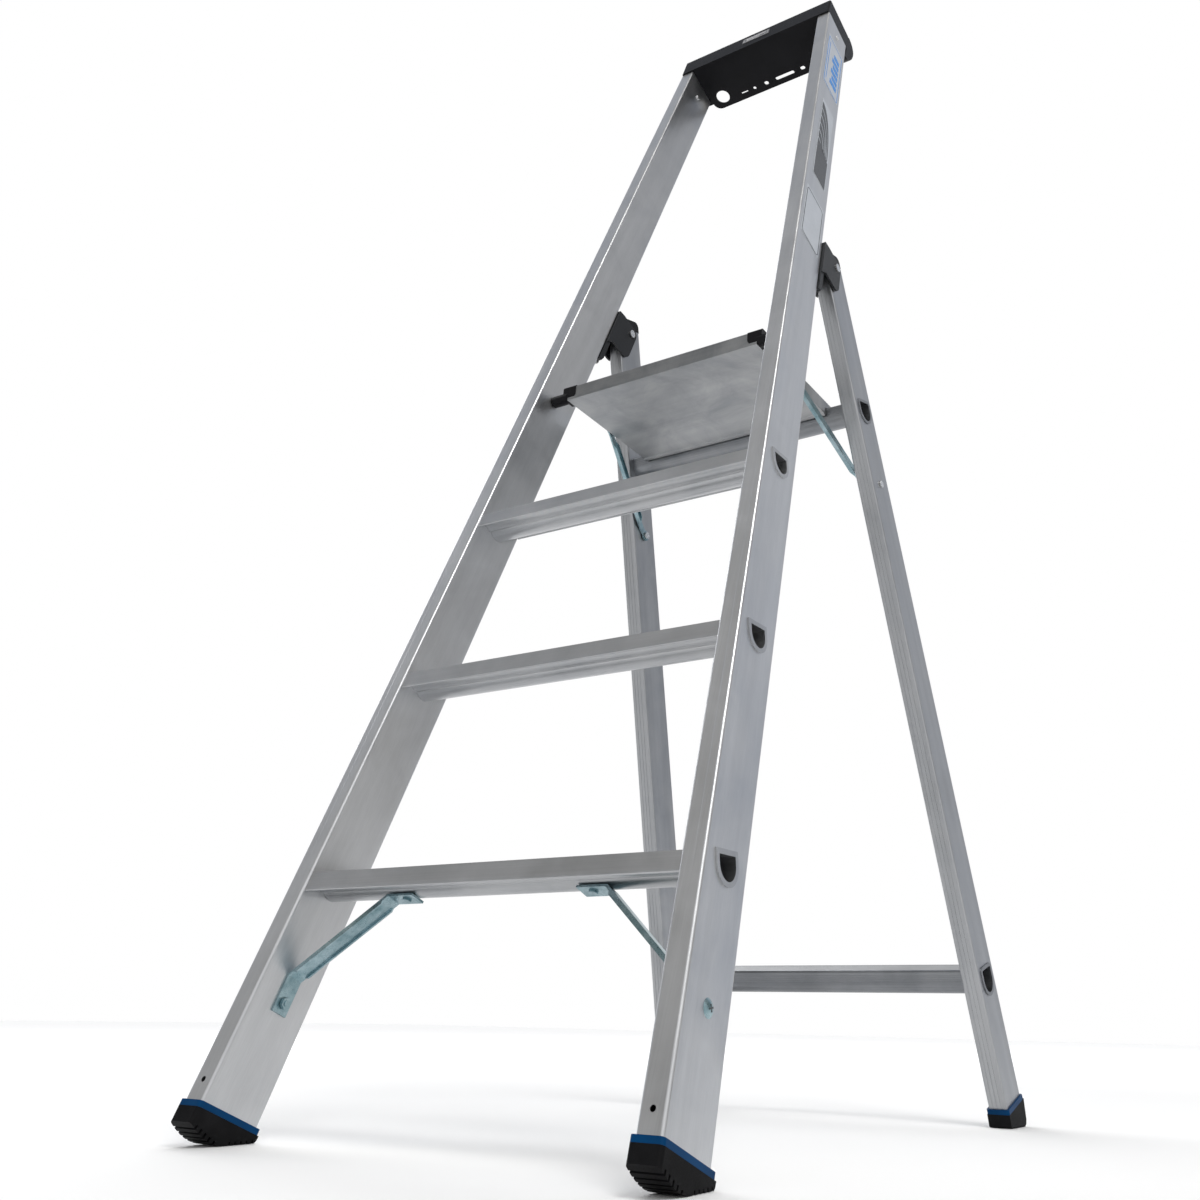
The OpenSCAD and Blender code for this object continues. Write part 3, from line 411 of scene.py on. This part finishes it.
def thin_piece(name, outlines, place, thick, material, body):
    """Flat shapes given as lists of corners in the XY plane, thickened along +Z and put in place."""
    mesh = bmesh.new()
    for outline in outlines:
        low = [mesh.verts.new((x, y, 0)) for x, y in outline]
        high = [mesh.verts.new((x, y, thick)) for x, y in outline]
        mesh.faces.new(list(reversed(low)))
        mesh.faces.new(high)
        for k in range(len(outline)):
            nxt = (k + 1) % len(outline)
            mesh.faces.new((low[k], low[nxt], high[nxt], high[k]))
    bmesh.ops.recalc_face_normals(mesh, faces=mesh.faces)
    mesh.transform(place)
    if place.to_3x3().determinant() < 0:
        bmesh.ops.reverse_faces(mesh, faces=mesh.faces)
    data = bpy.data.meshes.new(name)
    mesh.to_mesh(data)
    mesh.free()
    data.materials.append(material)
    made = bpy.data.objects.new(name, data)
    bpy.context.scene.collection.objects.link(made)
    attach(made, body)


def rounded_corners(x0, y0, x1, y1, r):
    steps = 6
    corners = []
    centres = ((x1 - r, y0 + r, -90), (x1 - r, y1 - r, 0), (x0 + r, y1 - r, 90), (x0 + r, y0 + r, 180))
    for cx, cy, start in centres:
        for k in range(steps + 1):
            a = math.radians(start + 90.0 * k / steps)
            corners.append((cx + r * math.cos(a), cy + r * math.sin(a)))
    return corners


def frame_outline(x0, y0, x1, y1, r, line):
    """A line of even width round a rounded rectangle, as a row of four-sided pieces."""
    outer = rounded_corners(x0, y0, x1, y1, r)
    inner = rounded_corners(x0 + line, y0 + line, x1 - line, y1 - line, max(r - line, 0.0001))
    count = len(outer)
    return [[outer[k - 1], outer[k], inner[k], inner[k - 1]] for k in range(count)]


def bar(x0, y0, x1, y1):
    return [(x0, y0), (x1, y0), (x1, y1), (x0, y1)]


def arched_stripes(width, low, first, last, count, gap):
    """Nested quarter arches that start at the front edge and turn down at the back edge."""
    steps = 12
    # The first arch starts at this share of the width, and the arches fill the rest
    narrow = 0.42
    spread = 1 - narrow
    shapes = []
    for k in range(count):
        here, there = k / count, (k + 1) / count
        inner = (width * (narrow + spread * here), first + (last - first) * here)
        outer = (width * (narrow + spread * there) - gap * 0.5, first + (last - first) * there - gap)
        for n in range(steps):
            a, b = math.pi / 2 * n / steps, math.pi / 2 * (n + 1) / steps
            corners = [(inner, a), (outer, a), (outer, b), (inner, b)]
            shapes.append([(r[0] * math.cos(t), low + r[1] * math.sin(t)) for r, t in corners])
    return shapes


def inside(sticker, side, end):
    """The area that lies this far in from a sticker's long and short edges."""
    start, length, width, gap = sticker
    return gap + side, start + end, gap + width - side, start + length - end


def print_labels():
    """Plain blocks and lines in place of the print on the three stickers."""
    # X of the print runs into the stile's depth and Y up the stile
    axes = Matrix(((0, 0, 1, INK_OUT), (1, 0, 0, 0), (0, 1, 0, 0), (0, 0, 0, 1)))
    onto = stile_matrix(1) @ axes
    ink = print_ink("ink_grey", (0.034, 0.037, 0.042), (0.054, 0.058, 0.064))
    blue = print_ink("ink_blue", (0.020, 0.16, 0.46), (0.035, 0.21, 0.55))

    def stick(name, shapes, colour, place=onto):
        thin_piece(name, shapes, place, INK_THICK, colour, "front_frame")

    stick("print_outline", frame_outline(*inside(LOW_STICKER, 0.002, 0.003), 0.007, 0.0014), ink)

    # A block with a sloping top, and the arches above it
    left, low, right, high = inside(MIDDLE_STICKER, 0.002, 0.003)
    slope = [(right, low + 0.077), (left + 0.020, low + 0.093), (left, low + 0.103)]
    stick("print_block", [[(left, low), (right, low)] + slope], ink)
    arch_low = low + 0.081
    stripes = arched_stripes(right - left, arch_low, 0.025, high - 0.001 - arch_low, 5, 0.0040)
    stick("print_stripes", stripes, ink, onto @ Matrix.Translation((left, 0, 0)))

    # A border with an upright line and a column of bars in it
    left, low, right, high = inside(TOP_STICKER, 0.002, 0.004)
    border = frame_outline(left, low, right, high, 0.003, 0.0016)
    stick("print_border", border + [bar(left + 0.006, low + 0.016, left + 0.0075, high - 0.013)], blue)
    pitch, tall, jog = 0.019, 0.014, 0.005
    bars = []
    for k in range(6):
        foot = low + 0.024 + pitch * k
        bars.append(bar(left + 0.020 + jog * (k % 2), foot, right - 0.008, foot + tall))
    stick("print_bars", bars, blue)


def print_badge():
    """Border and two plain lines on the tray's blank plate."""
    pale = print_ink("ink_pale", (0.42, 0.42, 0.43), (0.55, 0.55, 0.56))
    # Middle of the plate: to the right, out from the front face, and up the front frame's slope
    right, out, up = 0.003, 0.00392, 1.94305
    half_wide, half_tall = 0.026, 0.0062
    plate_face = Matrix.Translation((right, -out, up)) @ Matrix.Rotation(math.pi / 2, 4, "X")
    shapes = frame_outline(-half_wide, -half_tall, half_wide, half_tall, 0.001, 0.0008)
    shapes += [bar(-0.021, 0.0008, 0.021, 0.0036), bar(-0.021, -0.0036, 0.008, -0.0018)]
    thin_piece("badge_print", shapes, front_frame_matrix() @ plate_face, INK_THICK, pale, "front_frame")


def paint_recess_shade():
    """Painted shade: thin dark crosses on the domed heads of the brace bolts, in place of the shade in
    their cross-shaped recesses.
    """
    # Painted shade: the crosses are dark to stand for the shade inside the recesses
    dark = print_ink("painted_recess_shade", (0.030, 0.034, 0.036), (0.055, 0.060, 0.063))
    long, slim, thick = 0.0031, 0.0007, 0.0004
    # The head's place: out from the stile's face, into its depth and up the front frame's slope
    out, deep, up = 0.0029, 0.0385, 0.148
    cross = [bar(-long, -slim, -slim, slim), bar(slim, -slim, long, slim), bar(-slim, -long, slim, long)]
    head = Matrix.Translation((out, deep, up / math.cos(FLARE)))
    spin = 0.5
    for word, side in (("right", 1), ("left", -1)):
        place = stile_matrix(side) @ head
        place = place @ Matrix.Rotation(math.pi / 2, 4, "Y") @ Matrix.Rotation(spin, 4, "Z")
        thin_piece("painted_bolt_shade_" + word, cross, place, thick, dark, "front_frame")


# ---------------------------------------------------------------- build

make_camera()
make_studio()
dress_nodes(make_materials())
print_labels()
print_badge()
paint_recess_shade()
